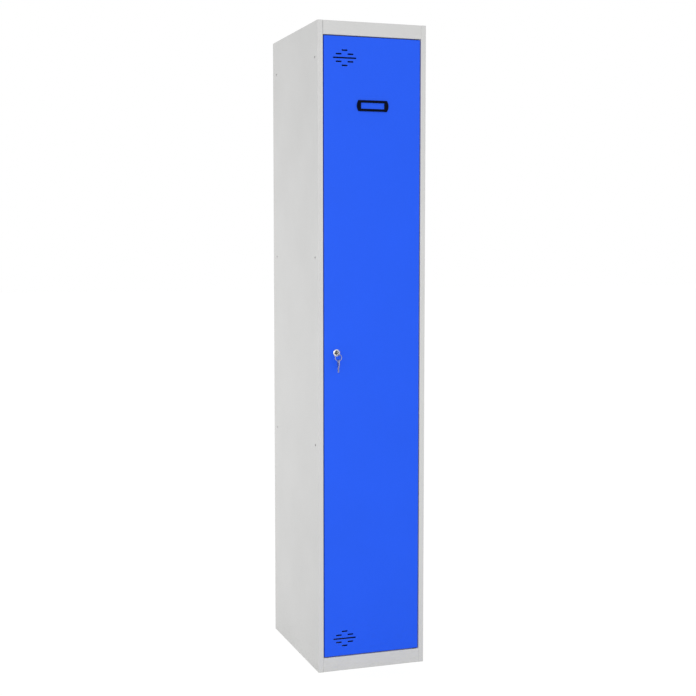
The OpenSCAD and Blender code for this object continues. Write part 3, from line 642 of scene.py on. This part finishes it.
def build_ring_tree():
    """Lays the path of the wire flat round Z and sweeps a strip with rounded corners along it."""
    inputs = {
        "Radius": "Float", "Lift": "Float", "Wire Width": "Float", "Wire Height": "Float",
        "Finish": "Material",
    }
    tree, entry, leave = geometry_tree("split_ring", inputs)
    line = node_in(tree, "GeometryNodeCurvePrimitiveLine", {"End": (1.0, 0.0, 0.0)})
    spacing = {"Curve": line.outputs["Curve"], "Count": WIRE_POINTS}
    points = node_in(tree, "GeometryNodeResampleCurve", spacing, mode="COUNT")
    share = node_in(tree, "GeometryNodeSplineParameter").outputs["Factor"]
    turn = math_of(tree, "MULTIPLY", share, 2 * math.pi * WIRE_TURNS)
    step = {
        "Value": share, "From Min": JOG_START, "From Max": JOG_STOP, "To Min": -1.0, "To Max": 1.0,
    }
    jog = node_in(tree, "ShaderNodeMapRange", step, interpolation_type="SMOOTHSTEP")
    place = {
        "X": math_of(tree, "MULTIPLY", math_of(tree, "SINE", turn), entry["Radius"]),
        "Y": math_of(tree, "MULTIPLY", math_of(tree, "COSINE", turn), entry["Radius"]),
        "Z": math_of(tree, "MULTIPLY", jog.outputs["Result"], entry["Lift"]),
    }
    spot = node_in(tree, "ShaderNodeCombineXYZ", place).outputs["Vector"]
    bent = {"Geometry": points.outputs["Curve"], "Position": spot}
    path = node_in(tree, "GeometryNodeSetPosition", bent).outputs["Geometry"]
    level = node_in(tree, "GeometryNodeSetCurveNormal", {"Curve": path}, mode="Z_UP")
    strip = {"Width": entry["Wire Width"], "Height": entry["Wire Height"]}
    wire = node_in(tree, "GeometryNodeCurvePrimitiveQuadrilateral", strip, mode="RECTANGLE")
    corner_r = math_of(tree, "MULTIPLY", entry["Wire Height"], CORNER_SHARE)
    corners = {"Curve": wire.outputs["Curve"], "Radius": corner_r, "Count": 4}
    rounded = node_in(tree, "GeometryNodeFilletCurve", corners, mode="POLY")
    sweep = {
        "Curve": level.outputs["Curve"], "Profile Curve": rounded.outputs["Curve"],
        "Fill Caps": True,
    }
    coil = node_in(tree, "GeometryNodeCurveToMesh", sweep)
    end_tree(tree, coil.outputs["Mesh"], entry["Finish"], leave)
    return tree


ring_steel = plated(
    "ring_steel", light=(0.42, 0.43, 0.45), dark=(0.34, 0.35, 0.37), roughness=(0.12, 0.22),
    relief=0.06, cloud_scale=200.0,
)
ring_low, ring_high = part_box("key_ring")
ring_t = ring_high.y - ring_low.y
ring_sizes = {
    "Radius": (ring_high.x - ring_low.x - ring_t) / 2, "Lift": ring_t * LIFT_SHARE,
    "Wire Width": ring_t * STRIP_W_SHARE, "Wire Height": ring_t * STRIP_H_SHARE,
    "Finish": ring_steel,
}
ring = grow("split_ring", bpy.data.meshes.new("split_ring_seed"), build_ring_tree(), ring_sizes)
upright = Matrix.Rotation(math.pi / 2, 4, "X")
ring.data.transform(Matrix.Translation((ring_low + ring_high) / 2) @ upright)
smooth_by_angle(ring.data)
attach(ring, "ring")
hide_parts("key_ring")


# Studio: a plain pale floor and two soft lamps in a pale world, with the camera in front and to the
# left. The world and the floor show white to the camera and in metal, and the floor keeps a soft
# shadow.
FLOOR_SPAN = 30.0
FLOOR_COLOUR = (0.72, 0.72, 0.71, 1)
FLOOR_GLOW = 1.08
GLOW_SHARE = 0.86
WORLD_LEVEL = 0.84
WHITE = (1, 1, 1, 1)


def white_rays(tree):
    """Marks the rays that should see white: straight to the camera, mirrored or let through."""
    path = node_in(tree, "ShaderNodeLightPath").outputs
    seen = math_of(tree, "MAXIMUM", path["Is Camera Ray"], path["Is Glossy Ray"])
    return math_of(tree, "MAXIMUM", seen, path["Is Transmission Ray"])


def build_floor():
    mesh = bpy.data.meshes.new("studio_floor")
    sides = ((-1, -1), (1, -1), (1, 1), (-1, 1))
    mesh.from_pydata([(x * FLOOR_SPAN, y * FLOOR_SPAN, 0) for x, y in sides], [], [(0, 1, 2, 3)])
    floor = bpy.data.objects.new("studio_floor", mesh)
    bpy.context.scene.collection.objects.link(floor)
    made = bpy.data.materials.new("studio_floor")
    made.use_nodes = True
    tree = made.node_tree
    tree.nodes.remove(tree.nodes["Principled BSDF"])
    plain = node_in(tree, "ShaderNodeBsdfDiffuse", {"Color": FLOOR_COLOUR}).outputs[0]
    glow = node_in(tree, "ShaderNodeEmission", {"Color": WHITE, "Strength": FLOOR_GLOW}).outputs[0]
    share = math_of(tree, "MULTIPLY", white_rays(tree), GLOW_SHARE)
    mixed = node_in(tree, "ShaderNodeMixShader", {0: share, 1: plain, 2: glow})
    tree.links.new(mixed.outputs[0], tree.nodes["Material Output"].inputs["Surface"])
    mesh.materials.append(made)


def build_world():
    world = bpy.data.worlds.new("studio")
    bpy.context.scene.world = world
    world.use_nodes = True
    tree = world.node_tree
    tree.nodes.remove(tree.nodes["Background"])
    lit = node_in(tree, "ShaderNodeBackground", {"Color": WHITE, "Strength": WORLD_LEVEL})
    white = node_in(tree, "ShaderNodeBackground", {"Color": WHITE, "Strength": 1.0})
    sides = {0: white_rays(tree), 1: lit.outputs[0], 2: white.outputs[0]}
    mixed = node_in(tree, "ShaderNodeMixShader", sides)
    tree.links.new(mixed.outputs[0], tree.nodes["World Output"].inputs["Surface"])


def add_lamp(name, place, target, size, power):
    lamp = bpy.data.lights.new(name, "AREA")
    lamp.shape = "RECTANGLE"
    lamp.size, lamp.size_y = size
    lamp.energy = power
    holder = bpy.data.objects.new(name, lamp)
    holder.location = place
    holder.rotation_euler = (Vector(target) - Vector(place)).to_track_quat("-Z", "Y").to_euler()
    bpy.context.scene.collection.objects.link(holder)


build_floor()
build_world()
add_lamp(
    "left_softbox", place=(-1.6, 0.9, 0.85), target=(0.0, 0.2, 0.85), size=(0.8, 1.2), power=7.5,
)
add_lamp(
    "front_softbox", place=(-1.2, -4.2, 1.2), target=(0.0, 0.0, 0.9), size=(1.6, 2.0), power=57,
)

IMAGE_PX = 696
FOCAL_PX = 1293.3
TILT_DOWN = 0.0788
TURN_RIGHT = 0.3288
lens = bpy.data.cameras.new("camera")
lens.sensor_width = 36.0
lens.lens = FOCAL_PX / IMAGE_PX * lens.sensor_width
lens.clip_end = 100.0
camera = bpy.data.objects.new("camera", lens)
camera.location = (-1.2228, -3.6005, 1.1922)
camera.rotation_euler = (math.pi / 2 - TILT_DOWN, 0.0, -TURN_RIGHT)
bpy.context.scene.collection.objects.link(camera)
bpy.context.scene.camera = camera
bpy.context.scene.view_settings.view_transform = "Standard"
